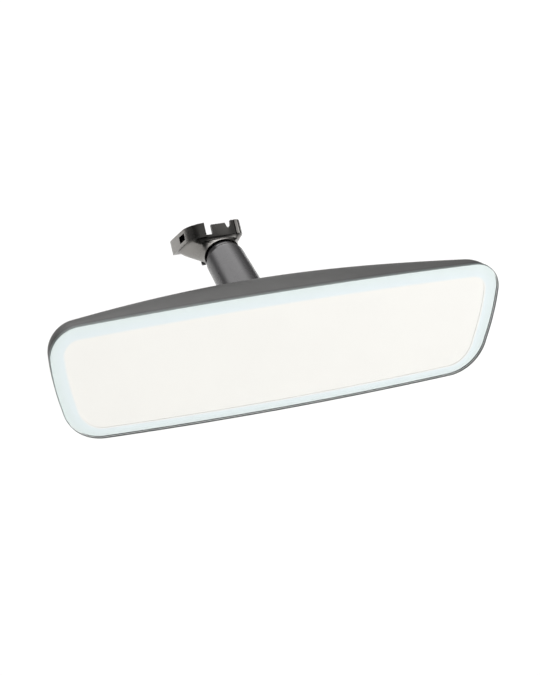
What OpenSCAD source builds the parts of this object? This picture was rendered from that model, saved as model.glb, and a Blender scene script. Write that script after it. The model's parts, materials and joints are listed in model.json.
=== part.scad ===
// Interior rearview mirror, frameless self-dimming type.
// A windscreen foot, an arm with a ball joint at each end, and a mirror head that
// holds the glass cell, its carrier, a mounting plate and a small circuit board.
// Origin: middle of the button channel, in the plane of the windscreen seat.
// +X is to the right seen from the cabin, +Y towards the windscreen, +Z up.

/* [Glass outline] */
// Half width of the glass along its top edge
glass_half_top = 121; // [115:1:126]
// Half width of the glass along its bottom edge
glass_half_bottom = 108.6; // [104:0.1:113]
// Height of the glass at its middle
glass_h = 66.9; // [63:0.1:72]
// Drop of the top edge from the middle to the corners
top_bow = 2.3; // [1:0.1:4]
// Rise of the bottom edge from the middle to the corners
bottom_bow = 3.2; // [1:0.1:5]
// Bulge of each side edge
side_bow = 4.4; // [3:0.1:6]
// Radius of the two upper corners
corner_top_r = 15.5; // [14:0.1:18]
// Radius of the two lower corners
corner_bottom_r = 22.3; // [15:0.1:23]

/* [Glass cell] */
// Thickness of the front glass
front_glass_t = 2; // [1.6:0.1:2.2]
// Thickness of the rear glass
rear_glass_t = 1.6; // [1.1:0.1:1.7]
// Width of the border ring along the top edge
ring_top_w = 8.6; // [7:0.1:10]
// Width of the border ring along the sides
ring_side_w = 8.2; // [6:0.1:9]
// Width of the border ring along the bottom edge
ring_bottom_w = 5.6; // [5.2:0.1:8]

/* [Rear housing] */
// Depth of the housing at its middle, from the face of the glass
shell_depth = 37.3; // [37:0.1:39]
// Radius of the back's curve, seen from above
shell_plan_r = 370; // [310:5:400]
// Radius of the back's curve, seen from the side
shell_side_r = 125; // [115:1:150]
// Inset over which the walls round into the back
shell_round = 10.6; // [9:0.1:10.8]
// Sharpness of that rounding, 2 for a quarter circle
shell_power = 2.3; // [2.2:0.1:3]
// Wall thickness
shell_wall = 1.8; // [1.5:0.1:2]

/* [Arm] */
// Rise of the arm from the head to the foot, in degrees
arm_rise = 15.5; // [13:0.5:18]
// Distance between the two ball centres
ball_distance = 65.7; // [62:0.1:75]
// Outer radius of the arm at the foot end
arm_foot_r = 10.2; // [10:0.05:10.4]
// Outer radius of the arm at its shoulder, just below the foot end's dome
arm_shoulder_r = 10.9; // [10.5:0.05:11.2]
// Outer radius of the arm at the head end
arm_head_r = 12.2; // [11.8:0.05:12.3]
// Height of the head ball's centre above the glass centre
head_ball_z = -2; // [-3:0.1:0]
// Distance of the head ball's centre behind the face of the glass
head_ball_y = 24; // [23.5:0.1:24.5]

/* [Foot] */
// Rake of the windscreen, from the horizontal, in degrees
rake = 40; // [36:1:44]
// Distance from the windscreen to the foot ball's centre
seat_to_ball = 22; // [21:0.5:24]
// Distance of the foot ball's centre towards the cabin end of the foot
ball_offset = 12; // [10:0.5:13]
// Height of the foot's walls
foot_h = 8; // [7.5:0.1:9]
// Depth of the button channel
channel_d = 6.5; // [6:0.1:6.6]
// Width of the channel below its lips
channel_w = 24; // [22:1:25]
// Width of the gap between the lips
lip_gap = 20.5; // [18:0.5:21]

/* [Hidden] */
$fn = 64;

fit_gap = 0.05;          // between a shaft and its bore
ball_gap = 0.05;         // between two spherical faces that rub

// Ball joints, radii from the ball outwards
foot_ball_r = 7;
foot_liner_r = 8.2;
foot_seat_r = foot_liner_r + ball_gap;
head_ball_r = 8;
head_liner_r = 9.3;
head_seat_r = head_liner_r + ball_gap;
dome_mouth = 41;         // half angle of the mouth in each end of the arm
liner_mouth = 43;        // half angle of the mouth in each liner
liner_reach = 112;       // how far a liner wraps its ball, from its mouth's pole
cup_r = arm_foot_r + 0.4;  // inner radius of the foot's cup
cup_rim_r = cup_r + 1;   // outer radius of its rim
cup_reach = 60;          // how far the cup covers the arm's dome
bowl_r = arm_head_r + 0.4;
bowl_wall = 1.6;
bowl_mouth = 44;         // half angle of the hole in front of the bowl
funnel_half_angle = 19;  // swing that the funnel leaves for the arm
funnel_l = 30;
hole_r = 18.5;           // hole in the back that the arm passes through
hole_z = head_ball_z + (shell_depth - head_ball_y) * tan(arm_rise);

foot_neck_r = 3.2;
foot_neck_l = sqrt(cup_r * cup_r - foot_neck_r * foot_neck_r) - 0.1;
foot_shank_r = 2.6;
wire_bore_r = 1.5;
head_neck_r = 3.4;
head_shank_r = 3.5;
collar_r = 4.6;
collar_s = 13;           // distances along the arm's axis from the head ball's centre
boss_s = 13.7;
boss_end_s = 16.7;
shank_end_s = 18.6;
boss_r = 7.4;
boss_room_r = 8.2;       // room for turning round the boss
nut_s = 13.8;            // along the axis from the foot ball's centre
nut_t = 2.2;
nut_r = 4.2;
nut_room_r = 4.8;
ring_r = 5.4;            // retaining ring of the head's stud
ring_t = 0.7;
groove_r = 2.7;

// What fills the arm
shoulder_s = 0.5;        // distance of the shoulder below the foot ball's centre
shoulder_l = 2.5;        // length over which it narrows to the dome
arm_bore_r = 7.2;
foot_seat_l = 14;        // depth of the wider bore behind each ball
head_seat_l = 15;
foot_cup_back = 11;      // distances from a ball's centre to its cup's two faces
foot_cup_face = 5.2;
head_cup_back = 12;
head_cup_face = 5.9;
cup_bore_r = 2.6;
spring_turns = 7;
spring_r = 5.6;
spring_wire_r = 0.8;
loom_r = 1.3;

// Foot: outline of its walls in the seat plane, from the left end round to the right
left_wall = [[-20.8, 13], [-20.8, 10], [-18, -7.5], [-15.5, -11], [-11.5, -13.4], [-8, -14.2]];
middle_wall = [[-7.6, -12.2], [4.6, -12.2]];
right_post = [[7.2, -12.2], [8.4, -12.6], [8.8, -12.1], [9.6, -12.1], [10, -12.7],
    [11.6, -12.5], [12, -11.9], [12.6, -11.6], [13.8, -9.8], [14.5, -6], [14.2, 6], [13.6, 13]];
lip_t = 1.6;             // thickness of the lips over the channel
channel_end = -10.2;     // closed end of the channel, towards the cabin
wire_slot_x = [-7.6, -3.6];
middle_wall_drop = 1;
v_notch = [[3.8, 1], [7.8, 1], [7.4, -2.4], [5.9, -4.2], [5.2, -3.4]];
window_y = [-6.6, 0.4];  // window in the left end, along the channel
window_z = [-5.9, -2.1];
loft_half = [16.4, 12.4];  // half size and middle of the cup's loft where it leaves the walls
loft_middle = [-2.6, 0.3];
loft_lean = -0.16;       // its shear, to follow the left wall
loft_flare = 0.88;       // narrowing and depth of the loft's first control ring
loft_flare_h = 4.1;
loft_neck = 0.98;        // the same for its second, by the cup's rim
loft_neck_h = 5;
rim_r = cup_rim_r * sin(cup_reach);
rim_s = cup_rim_r * cos(cup_reach);
set_screw_x = -7.6;
set_screw_y = 2.6;
set_screw_r = 1.5;
set_screw_z = [-18.8, -6.6];
set_screw_hole_r = 1.62;

// Layers behind the face of the glass, each a distance along +Y
ring_y = front_glass_t;
seal_y = ring_y + 0.1;
coating_y = seal_y + 0.3;
rear_y = coating_y + 0.1;
pad_y = rear_y + rear_glass_t;
carrier_y = pad_y + 0.8;
carrier_t = 1.5;
shell_y = front_glass_t + 0.6;
board_y = 9;
board_t = 1.6;
plate_y = 9;
plate_t = 2.2;
cell_inset = 3;          // of the rear glass and what lies in front of it
shell_inset = 0.5;
carrier_inset = 3.1;
plate_screw_x = 30;
plate_screw_z = 14;
sensor_x = 54;
forward_z = 6;
glare_z = -9;
board_x0 = 42;
board_x1 = 88;
board_half_h = 15;
board_screw_x = [board_x0 + 4, board_x1 - 4];
board_screw_z = [-board_half_h + 3, board_half_h - 3];
carrier_hole_z = -5;     // hole in front of the head's stud
carrier_hole_r = 9;
carrier_window_x = [-90, -60];
hook_x = [-84, -48, 0, 48, 84];
hook_t = 1.2;
hook_nib = 1.1;
hook_inset = 5;
web_y = 19;              // web that joins the screw posts
web_t = 2.2;
post_r = 3.4;
sensor_hole_r = 3.7;
light_pipe_r = 3.55;

// Steps round the outline of the glass and over the shell
edge_steps = 8;
arc_steps = 6;
side_steps = 4;
back_steps = 5;
round_steps = 7;

foot_ball = [0,
    -ball_offset * cos(rake) - seat_to_ball * sin(rake),
    ball_offset * sin(rake) - seat_to_ball * cos(rake)];
head_ball = foot_ball - ball_distance * [0, cos(arm_rise), sin(arm_rise)];
glass_centre = head_ball - [0, head_ball_y, head_ball_z];

// ---- frames ----

// Seat frame: Z out of the windscreen seat, Y down along the windscreen
module on_seat() {
    rotate([-rake, 0, 0]) children();
}

// Axis frame: Z along the arm, from the head towards the foot
module on_axis(centre) {
    translate(centre) rotate([arm_rise - 90, 0, 0]) children();
}

module in_head() {
    translate(glass_centre) children();
}

// ---- outline of the glass, as points [x, z, normal x, normal z] ----

function top_z(x) = glass_h / 2 - top_bow * pow(x / glass_half_top, 2);
function bottom_z(x) = -glass_h / 2 + bottom_bow * pow(x / glass_half_top, 2);
function top_slope(x) = -2 * top_bow * x / pow(glass_half_top, 2);
function bottom_slope(x) = 2 * bottom_bow * x / pow(glass_half_top, 2);
function down(z) = (glass_h / 2 - z) / glass_h;
function side_x(z) = glass_half_top + (glass_half_bottom - glass_half_top) * down(z)
    + 4 * side_bow * down(z) * (1 - down(z));
function side_slope(z) = -((glass_half_bottom - glass_half_top)
    + 4 * side_bow * (1 - 2 * down(z))) / glass_h;

// Centre of the circle that touches a side and the top or bottom edge
function corner(r, upper, c = [100, 20], n = 8) = n == 0 ? c :
    let (
        slope = upper ? top_slope(c.x) : bottom_slope(c.x),
        drop = r * sqrt(1 + slope * slope),
        z = upper ? top_z(c.x) - drop : bottom_z(c.x) + drop,
        lean = side_slope(z)
    )
    corner(r, upper, [side_x(z) - r * sqrt(1 + lean * lean), z], n - 1);

low = corner(corner_bottom_r, false);
high = corner(corner_top_r, true);
low_start = atan2(-1, bottom_slope(low.x));
low_end = atan2(-side_slope(low.y), 1);
high_start = atan2(-side_slope(high.y), 1);
high_end = atan2(1, -top_slope(high.x));

function unit(v) = v / norm(v);
function edge_point(p, n) = [p.x, p.y, unit(n).x, unit(n).y];
function arc(c, r, a0, a1, n) = [for (i = [0 : n])
    let (a = a0 + (a1 - a0) * i / n)
    [c.x + r * cos(a), c.y + r * sin(a), cos(a), sin(a)]];

bottom_end = low.x + corner_bottom_r * cos(low_start);
top_end = high.x + corner_top_r * cos(high_end);
side_z0 = low.y + corner_bottom_r * sin(low_end);
side_z1 = high.y + corner_top_r * sin(high_start);

right_half = concat(
    [for (i = [0 : edge_steps - 1])
        let (x = bottom_end * i / edge_steps)
        edge_point([x, bottom_z(x)], [bottom_slope(x), -1])],
    arc(low, corner_bottom_r, low_start, low_end, arc_steps),
    [for (i = [1 : side_steps])
        let (z = side_z0 + (side_z1 - side_z0) * i / (side_steps + 1))
        edge_point([side_x(z), z], [1, -side_slope(z)])],
    arc(high, corner_top_r, high_start, high_end, arc_steps),
    [for (i = [edge_steps - 1 : -1 : 0])
        let (x = top_end * i / edge_steps)
        edge_point([x, top_z(x)], [-top_slope(x), 1])]
);
last = len(right_half) - 1;
rim = concat(right_half,
    [for (i = [last - 1 : -1 : 1])
        let (p = right_half[i])
        [-p[0], p[1], -p[2], p[3]]]);

function inset_rim(inset) = [for (p = rim) [p[0] - inset * p[2], p[1] - inset * p[3]]];

// Inner edge of the border ring, whose width depends on which way the edge faces
function ring_width(up) = ring_side_w
    + (up > 0 ? ring_top_w - ring_side_w : ring_bottom_w - ring_side_w) * up * up;
function ring_edge() = [for (p = rim)
    [p[0] - ring_width(p[3]) * p[2], p[1] - ring_width(p[3]) * p[3]]];

// A flat layer with the given outline, from y0 to y1
module layer(y0, y1, points) {
    translate([0, y1, 0]) rotate([90, 0, 0]) linear_extrude(y1 - y0) polygon(points);
}

module band(y0, y1, outer, inner) {
    translate([0, y1, 0]) rotate([90, 0, 0]) linear_extrude(y1 - y0) difference() {
        polygon(outer);
        polygon(inner);
    }
}

// A box given by its low and high corners
module block(low_corner, high_corner) {
    translate(low_corner) cube(high_corner - low_corner);
}

// A round bar along +Y from y0 to y1
module bar(x, z, r, y0, y1) {
    translate([x, y0, z]) rotate([-90, 0, 0]) cylinder(r = r, h = y1 - y0);
}

// ---- foot ----

foot_outline = concat(left_wall, middle_wall, right_post);

// The loft from the underside of the walls to the cup; it ends past the rim, which is cut flat
loft_sides = 40;
loft_rings = 7;
function squircle(a, half) = let (
        c = cos(a),
        s = sin(a),
        k = pow(pow(abs(c), 4) + pow(abs(s), 4), -0.25)
    ) [half.x * c * k, half.y * s * k];
function axis_to_seat(p) = [p.x,
    -ball_offset + p.y * sin(rake + arm_rise) + p.z * cos(rake + arm_rise),
    -seat_to_ball - p.y * cos(rake + arm_rise) + p.z * sin(rake + arm_rise)];
function bezier(a, b, c, d, t) = pow(1 - t, 3) * a + 3 * pow(1 - t, 2) * t * b
    + 3 * (1 - t) * t * t * c + pow(t, 3) * d;
function seat_ring(a, k, z) = let (q = squircle(a, loft_half))
    [loft_middle.x + k * (q.x + loft_lean * q.y), loft_middle.y + k * q.y, z];
function cup_ring(a, k, s) = axis_to_seat([k * rim_r * cos(a), k * rim_r * sin(a), s]);
function loft_point(a, t) = bezier(
    seat_ring(a, 1, -foot_h + 1),
    seat_ring(a, loft_flare, -foot_h - loft_flare_h),
    cup_ring(a, loft_neck, rim_s + loft_neck_h),
    cup_ring(a, 1, rim_s - 1.5),
    t);

module trumpet() {
    points = [for (k = [0 : loft_rings]) for (i = [0 : loft_sides - 1])
        loft_point(360 * i / loft_sides, k / loft_rings)];
    walls = [for (k = [0 : loft_rings - 1]) for (i = [0 : loft_sides - 1])
        let (j = (i + 1) % loft_sides, a = k * loft_sides, b = a + loft_sides)
        each [[a + i, a + j, b + i], [a + j, b + j, b + i]]];
    start_cap = [[for (i = [loft_sides - 1 : -1 : 0]) i]];
    end_cap = [[for (i = [0 : loft_sides - 1]) loft_rings * loft_sides + i]];
    polyhedron(points, concat(walls, start_cap, end_cap));
}

// Everything cut from the walls: the button channel, the wire slot, the notch and the window
module channel() {
    half = channel_w / 2;
    past = 20;
    block([-half, channel_end, -channel_d], [half, past, -lip_t]);
    block([-lip_gap / 2, channel_end, -channel_d], [lip_gap / 2, past, 1]);
    block([wire_slot_x[0], -past, -channel_d], [wire_slot_x[1], -9, 1]);
    translate([0, -9, 0]) rotate([90, 0, 0]) linear_extrude(past - 9) polygon(v_notch);
    // the middle wall stands a little lower than the ends
    block([wire_slot_x[0], -past, -middle_wall_drop], [5, -9, 1]);
    block([-30, window_y[0], window_z[0]], [-half + 1, window_y[1], window_z[1]]);
}

module foot_casting() {
    color("#4a4744") difference() {
        on_seat() union() {
            translate([0, 0, -foot_h]) linear_extrude(foot_h) polygon(foot_outline);
            trumpet();
        }
        on_seat() channel();
        on_axis(foot_ball) {
            translate([0, 0, rim_s - 20]) cylinder(r = 16, h = 20);
            rotate([0, 0, 20]) sphere(r = cup_r);
            cylinder(r = foot_shank_r + 0.02, h = 30);
            translate([0, 0, nut_s]) cylinder(r = nut_room_r, h = 12);
        }
        on_seat() translate([set_screw_x, set_screw_y, set_screw_z[0]])
            cylinder(r = set_screw_hole_r, h = 20, $fn = 12);
    }
}

module foot_set_screw() {
    color("#2a2a2a") on_seat() translate([set_screw_x, set_screw_y, 0]) difference() {
        translate([0, 0, set_screw_z[0]])
            cylinder(r = set_screw_r, h = set_screw_z[1] - set_screw_z[0]);
        translate([0, 0, set_screw_z[0] - 1]) cylinder(r = 0.8, h = 3, $fn = 6);
    }
}

module foot_ball_stud() {
    color("#b9b9b4") on_axis(foot_ball) difference() {
        union() {
            sphere(r = foot_ball_r);
            cylinder(r = foot_neck_r, h = foot_neck_l);
            cylinder(r = foot_shank_r, h = nut_s + nut_t);
        }
        translate([0, 0, -20]) cylinder(r = wire_bore_r, h = 60);
    }
}

module stud_push_nut() {
    color("#8d8d88") on_axis(foot_ball) translate([0, 0, nut_s + 0.02]) difference() {
        cylinder(r = nut_r, h = nut_t - 0.3);
        translate([0, 0, -1]) cylinder(r = foot_shank_r + 0.02, h = 5);
    }
}

module foot_ball_liner() {
    color("#e8e6df") on_axis(foot_ball) liner_shell(foot_ball_r + ball_gap, foot_liner_r);
}

// The liner as exact spheres, cut by two cones
module liner_shell(inner, outer) {
    difference() {
        sphere(r = outer);
        sphere(r = inner);
        cone_cut(liner_mouth, outer + 4);
        mirror([0, 0, 1]) cone_cut(180 - liner_reach, outer + 4);
    }
}

// A cone from the origin along +Z
module cone_cut(half_angle, h) {
    cylinder(r1 = 0, r2 = h * tan(half_angle), h = h);
}

// ---- arm ----

module arm_tube() {
    color("#767577") on_axis(foot_ball) difference() {
        union() {
            sphere(r = arm_foot_r);
            translate([0, 0, -shoulder_s])
                cylinder(r1 = arm_shoulder_r, r2 = arm_foot_r - 0.3, h = shoulder_l);
            translate([0, 0, -ball_distance])
                cylinder(r1 = arm_head_r, r2 = arm_shoulder_r, h = ball_distance - shoulder_s);
            translate([0, 0, -ball_distance]) sphere(r = arm_head_r);
        }
        sphere(r = foot_seat_r);
        translate([0, 0, -foot_seat_l]) cylinder(r = foot_seat_r, h = foot_seat_l);
        translate([0, 0, -ball_distance]) sphere(r = head_seat_r);
        translate([0, 0, -ball_distance]) cylinder(r = head_seat_r, h = head_seat_l);
        translate([0, 0, -ball_distance]) cylinder(r = arm_bore_r, h = ball_distance);
        cone_cut(dome_mouth, arm_foot_r + 1);
        translate([0, 0, -ball_distance]) mirror([0, 0, 1]) cone_cut(dome_mouth, arm_head_r + 1);
    }
}

// A cup that presses on a ball from inside the arm; Z points to the ball's centre
module pressure_cup(ball_r, outer_r, back, face) {
    difference() {
        translate([0, 0, -back]) cylinder(r = outer_r, h = back - face);
        sphere(r = ball_r + 2 * ball_gap);
        translate([0, 0, -back - 1]) cylinder(r = cup_bore_r, h = 30);
    }
}

module foot_pressure_cup() {
    color("#dcd9cf") on_axis(foot_ball)
        pressure_cup(foot_ball_r, foot_seat_r - 0.1, foot_cup_back, foot_cup_face);
}

module head_pressure_cup() {
    color("#dcd9cf") on_axis(head_ball) mirror([0, 0, 1])
        pressure_cup(head_ball_r, head_seat_r - 0.1, head_cup_back, head_cup_face);
}

// Coil spring along +Z, swept by a ring of points around each point of the helix
module arm_spring() {
    length = ball_distance - foot_cup_back - head_cup_back - 2 * spring_wire_r - 0.2;
    turn_steps = 14;
    steps = spring_turns * turn_steps;
    sides = 8;
    points = [for (i = [0 : steps]) for (j = [0 : sides - 1])
        let (
            a = 360 * i / turn_steps,
            b = 360 * j / sides,
            r = spring_r + spring_wire_r * cos(b)
        )
        [r * cos(a), r * sin(a), length * i / steps + spring_wire_r * sin(b)]];
    walls = [for (i = [0 : steps - 1]) for (j = [0 : sides - 1])
        let (k = (j + 1) % sides, p = i * sides, q = p + sides)
        each [[p + j, q + j, p + k], [p + k, q + j, q + k]]];
    first = [[for (j = [0 : sides - 1]) j]];
    end = [[for (j = [sides - 1 : -1 : 0]) steps * sides + j]];
    color("#a8a8a4") on_axis(head_ball)
        translate([0, 0, head_cup_back + spring_wire_r + 0.1])
        polyhedron(points, concat(walls, first, end));
}

module wire_loom() {
    color("#1d1d1f") on_axis(head_ball) translate([0, 0, head_ball_r + 0.6])
        cylinder(r = loom_r, h = ball_distance - head_ball_r - foot_ball_r - 1.2);
}

// ---- head joint ----

module head_ball_liner() {
    color("#e8e6df") on_axis(head_ball) mirror([0, 0, 1])
        liner_shell(head_ball_r + ball_gap, head_liner_r);
}

module head_ball_stud() {
    color("#b9b9b4") on_axis(head_ball) mirror([0, 0, 1]) difference() {
        union() {
            sphere(r = head_ball_r);
            cylinder(r = head_neck_r, h = boss_s);
            translate([0, 0, collar_s]) cylinder(r = collar_r, h = boss_s - collar_s - 0.05);
            cylinder(r = head_shank_r - fit_gap, h = shank_end_s);
        }
        translate([0, 0, -20]) cylinder(r = wire_bore_r, h = 60);
        // groove for the retaining ring
        translate([0, 0, boss_end_s + 0.3]) difference() {
            cylinder(r = ring_r, h = ring_t + 0.1);
            cylinder(r = groove_r, h = ring_t + 0.1);
        }
    }
}

module stud_retaining_ring() {
    color("#6f6f6b") on_axis(head_ball) mirror([0, 0, 1])
        translate([0, 0, boss_end_s + 0.35]) difference() {
            cylinder(r = ring_r, h = ring_t);
            translate([0, 0, -1]) cylinder(r = groove_r + 0.02, h = 3);
            block([-1.6, 0, -1], [1.6, 8, 2]);
        }
}

// ---- head ----

// Depth of the back at a point of the head
function back_y(x, z, depth) = depth - x * x / (2 * shell_plan_r) - z * z / (2 * shell_side_r);

// One ring of the shell's skin, with b from 1 at the front to 0 where the back starts
function skin_ring(b, inset, depth) = let (a = pow(1 - pow(b, shell_power), 1 / shell_power))
    [for (p = inset_rim(inset + shell_round * (1 - b)))
        [p.x, shell_y + (back_y(p.x, p.y, depth) - shell_y) * a, p.y]];

// One ring of the back, from the rounding (t = 0) to the edge of the arm's hole (t = 1)
function back_ring(t, inset, depth) = let (outer = inset_rim(inset + shell_round))
    [for (i = [0 : len(outer) - 1])
        let (
            a = 360 * i / len(outer) - 90,
            x = outer[i].x * (1 - t) + hole_r * cos(a) * t,
            z = outer[i].y * (1 - t) + (hole_z + hole_r * sin(a)) * t
        )
        [x, back_y(x, z, depth), z]];

// All rings of one skin, from the front edge to the arm's hole
function skin_rings(inset, depth) = concat(
    [for (k = [0 : round_steps]) skin_ring(cos(90 * k / round_steps), inset, depth)],
    [for (k = [1 : back_steps]) back_ring(k / back_steps, inset, depth)]);

// The moulded wall: out along the outer skin, through the hole and back along the inner skin
module shell_wall_solid() {
    count = len(rim);
    outer = skin_rings(shell_inset, shell_depth);
    inner = skin_rings(shell_inset + shell_wall, shell_depth - shell_wall);
    rings = concat(outer, [for (k = [len(inner) - 1 : -1 : 0]) inner[k]]);
    polyhedron([for (ring = rings) each ring], [for (k = [0 : len(rings) - 1])
        for (i = [0 : count - 1])
            let (
                j = (i + 1) % count,
                a = k * count,
                b = ((k + 1) % len(rings)) * count
            )
            each [[a + i, a + j, b + i], [a + j, b + j, b + i]]]);
}

// The bowl that the arm's dome sits in, and the funnel that its tube swings in
module funnel(r) {
    start_r = r * cos(funnel_half_angle);
    sphere(r = r);
    translate([0, 0, -r * sin(funnel_half_angle)])
        cylinder(r1 = start_r, r2 = start_r + funnel_l * tan(funnel_half_angle), h = funnel_l);
}

module rear_housing() {
    color("#5f5e5d") difference() {
        in_head() shell_wall_solid();
        in_head() hull() bar(sensor_x, forward_z, sensor_hole_r, 20, 50, $fn = 32);
    }
}

// Inner frame behind the shell: the funnel, four screw posts and the web that joins them
module socket_frame() {
    color("#3c3c3e") difference() {
        union() {
            intersection() {
                on_axis(head_ball) funnel(bowl_r + bowl_wall);
                // ends just inside the shell's wall, on its side curve
                in_head() translate([-40, shell_depth - shell_wall - 0.6 - shell_side_r, 0])
                    rotate([0, 90, 0]) cylinder(r = shell_side_r, h = 80, $fn = 200);
            }
            in_head() {
                block([-34, web_y, -17], [34, web_y + web_t, 17]);
                for (x = [-plate_screw_x, plate_screw_x])
                    for (z = [-plate_screw_z, plate_screw_z])
                        bar(x, z, post_r, plate_y + plate_t + 0.02, web_y + 5);
            }
        }
        on_axis(head_ball) {
            funnel(bowl_r);
            mirror([0, 0, 1]) cone_cut(bowl_mouth, 16);
        }
        in_head() for (x = [-plate_screw_x, plate_screw_x])
            for (z = [-plate_screw_z, plate_screw_z])
                bar(x, z, 1.3, plate_y, 20);
    }
}

module mounting_plate() {
    color("#9a9a96") difference() {
        union() {
            in_head() difference() {
                block([-38, plate_y, -20], [38, plate_y + plate_t, 20]);
                for (x = [-38, 38]) for (z = [-20, 20])
                    translate([x, plate_y - 1, z]) rotate([0, 45, 0])
                        translate([-4, 0, -4]) cube([8, plate_t + 2, 8]);
                for (x = [-19, 19]) bar(x, 0, 5, plate_y - 1, plate_y + plate_t + 1);
            }
            on_axis(head_ball) mirror([0, 0, 1]) translate([0, 0, boss_s])
                cylinder(r = boss_r, h = boss_end_s - boss_s);
        }
        on_axis(head_ball) mirror([0, 0, 1]) {
            cylinder(r = head_shank_r, h = 30);
            cylinder(r = boss_room_r, h = boss_s);
            translate([0, 0, boss_end_s]) cylinder(r = boss_room_r, h = 6);
        }
        in_head() for (x = [-plate_screw_x, plate_screw_x])
            for (z = [-plate_screw_z, plate_screw_z])
                bar(x, z, 1.6, plate_y - 1, plate_y + plate_t + 1);
    }
}

// A pan-head screw whose head lies against y, its shank running along +Y
module screw(x, z, y, shank_r, shank_l, head_r, head_t) {
    front = y - head_t - 1;
    floor_y = y - head_t * 0.5;
    reach = head_r * 0.6;
    difference() {
        union() {
            bar(x, z, shank_r, y - 0.1, y + shank_l);
            bar(x, z, head_r, y - head_t, y);
        }
        block([x - 0.4, front, z - reach], [x + 0.4, floor_y, z + reach]);
        block([x - reach, front, z - 0.4], [x + reach, floor_y, z + 0.4]);
    }
}

module plate_screws() {
    color("#83837f") in_head()
        for (x = [-plate_screw_x, plate_screw_x]) for (z = [-plate_screw_z, plate_screw_z])
            screw(x, z, plate_y - 0.02, 1.28, 9, 2.8, 1.7);
}

module glass_carrier() {
    end = carrier_y + carrier_t;
    half = hook_t / 2;
    color("#2d2d2f") in_head() difference() {
        union() {
            layer(carrier_y, end, inset_rim(carrier_inset));
            for (x = board_screw_x) for (z = board_screw_z) bar(x, z, 2.4, end - 0.1, board_y - 0.02);
            // snap hooks along the top and bottom edges, their nibs facing outwards
            for (x = hook_x) for (side = [-1, 1]) let (
                z = side > 0 ? top_z(x) - hook_inset : bottom_z(x) + hook_inset,
                below = side > 0 ? half : half + hook_nib,
                above = side > 0 ? half + hook_nib : half
            ) {
                block([x - 4, end - 0.1, z - half], [x + 4, end + 4, z + half]);
                block([x - 4, end + 2.8, z - below], [x + 4, end + 4, z + above]);
            }
        }
        bar(0, carrier_hole_z, carrier_hole_r, carrier_y - 1, end + 1);
        bar(sensor_x, glare_z, 3.4, carrier_y - 1, end + 1);
        for (x = board_screw_x) for (z = board_screw_z) bar(x, z, 0.8, end, board_y + 1);
        for (x = carrier_window_x) block([x - 10, carrier_y - 1, -14], [x + 10, end + 1, 14]);
    }
}

module adhesive_pad() {
    color("#1c1c1c") in_head() difference() {
        layer(pad_y + 0.01, carrier_y - 0.01, inset_rim(6));
        bar(0, carrier_hole_z, carrier_hole_r + 1, pad_y - 1, carrier_y + 1);
        bar(sensor_x, glare_z, 4, pad_y - 1, carrier_y + 1);
        for (x = carrier_window_x) block([x - 11, pad_y - 1, -15], [x + 11, carrier_y + 1, 15]);
    }
}

module front_glass() {
    color("#e6efef", 0.4) in_head() layer(0, front_glass_t, inset_rim(0));
}

module border_ring() {
    color("#dfe9ea") in_head() band(ring_y + 0.01, seal_y, inset_rim(0.5), ring_edge());
}

module cell_seal() {
    color("#3b3f40") in_head()
        band(seal_y + 0.01, coating_y - 0.01, inset_rim(cell_inset + 0.2), inset_rim(cell_inset + 2));
}

module dimming_gel() {
    color("#f4f2e6", 0.6) in_head()
        layer(seal_y + 0.02, coating_y - 0.02, inset_rim(cell_inset + 2.1));
}

module mirror_coating() {
    color("#f7f7f2") in_head() layer(coating_y, rear_y, inset_rim(cell_inset));
}

module rear_glass() {
    color("#cfdcd8") in_head() layer(rear_y, pad_y, inset_rim(cell_inset));
}

// Two spring-metal clips that carry current to the cell, folded over its rear edge
module bus_clips() {
    color("#b5b5ae") in_head() for (side = [-1, 1]) let (
        edge = side > 0 ? top_z(0) - cell_inset : -bottom_z(0) - cell_inset,
        inner = edge - 2.4
    ) {
        block([16, rear_y + 0.2, side > 0 ? edge + 0.02 : -edge - 0.32],
            [30, pad_y + 0.32, side > 0 ? edge + 0.32 : -edge - 0.02]);
        block([16, pad_y + 0.02, side > 0 ? inner : -edge - 0.32],
            [30, pad_y + 0.32, side > 0 ? edge + 0.32 : -inner]);
    }
}

module circuit_board() {
    color("#2f6b46") in_head() difference() {
        block([board_x0, board_y, -board_half_h], [board_x1, board_y + board_t, board_half_h]);
        for (x = board_screw_x) for (z = board_screw_z)
            bar(x, z, 1, board_y - 1, board_y + board_t + 1);
    }
}

// The board's screws go in from the back, so each is turned to point forward
module board_screws() {
    back = board_y + board_t;
    color("#83837f") in_head() for (x = board_screw_x) for (z = board_screw_z) difference() {
        union() {
            bar(x, z, 0.78, board_y - 2, back + 0.1);
            bar(x, z, 1.9, back + 0.02, back + 1.2);
        }
        block([x - 0.3, back + 0.6, z - 1.2], [x + 0.3, back + 3, z + 1.2]);
    }
}

module board_connector() {
    back = board_y + board_t + 0.02;
    color("#e9e6dc") in_head() difference() {
        block([board_x0 + 7.5, back, -12], [board_x0 + 12.5, back + 5, -3]);
        block([board_x0 + 8.3, back + 1.2, -11.2], [board_x0 + 11.7, back + 6, -3.8]);
    }
}

module dimming_chip() {
    back = board_y + board_t + 0.02;
    color("#222222") in_head() {
        block([board_x0 + 24, back, -3.5], [board_x0 + 31, back + 1.4, 3.5]);
        block([board_x0 + 35, back, -8], [board_x0 + 38, back + 1, -6]);
        block([board_x0 + 35, back, 4], [board_x0 + 38, back + 1, 6]);
    }
}

module glare_sensor() {
    color("#3a3a48") in_head() {
        block([sensor_x - 2.5, board_y - 1.2, glare_z - 2.5],
            [sensor_x + 2.5, board_y - 0.02, glare_z + 2.5]);
        bar(sensor_x, glare_z, 1.8, board_y - 2, board_y - 1.1);
    }
}

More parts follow.
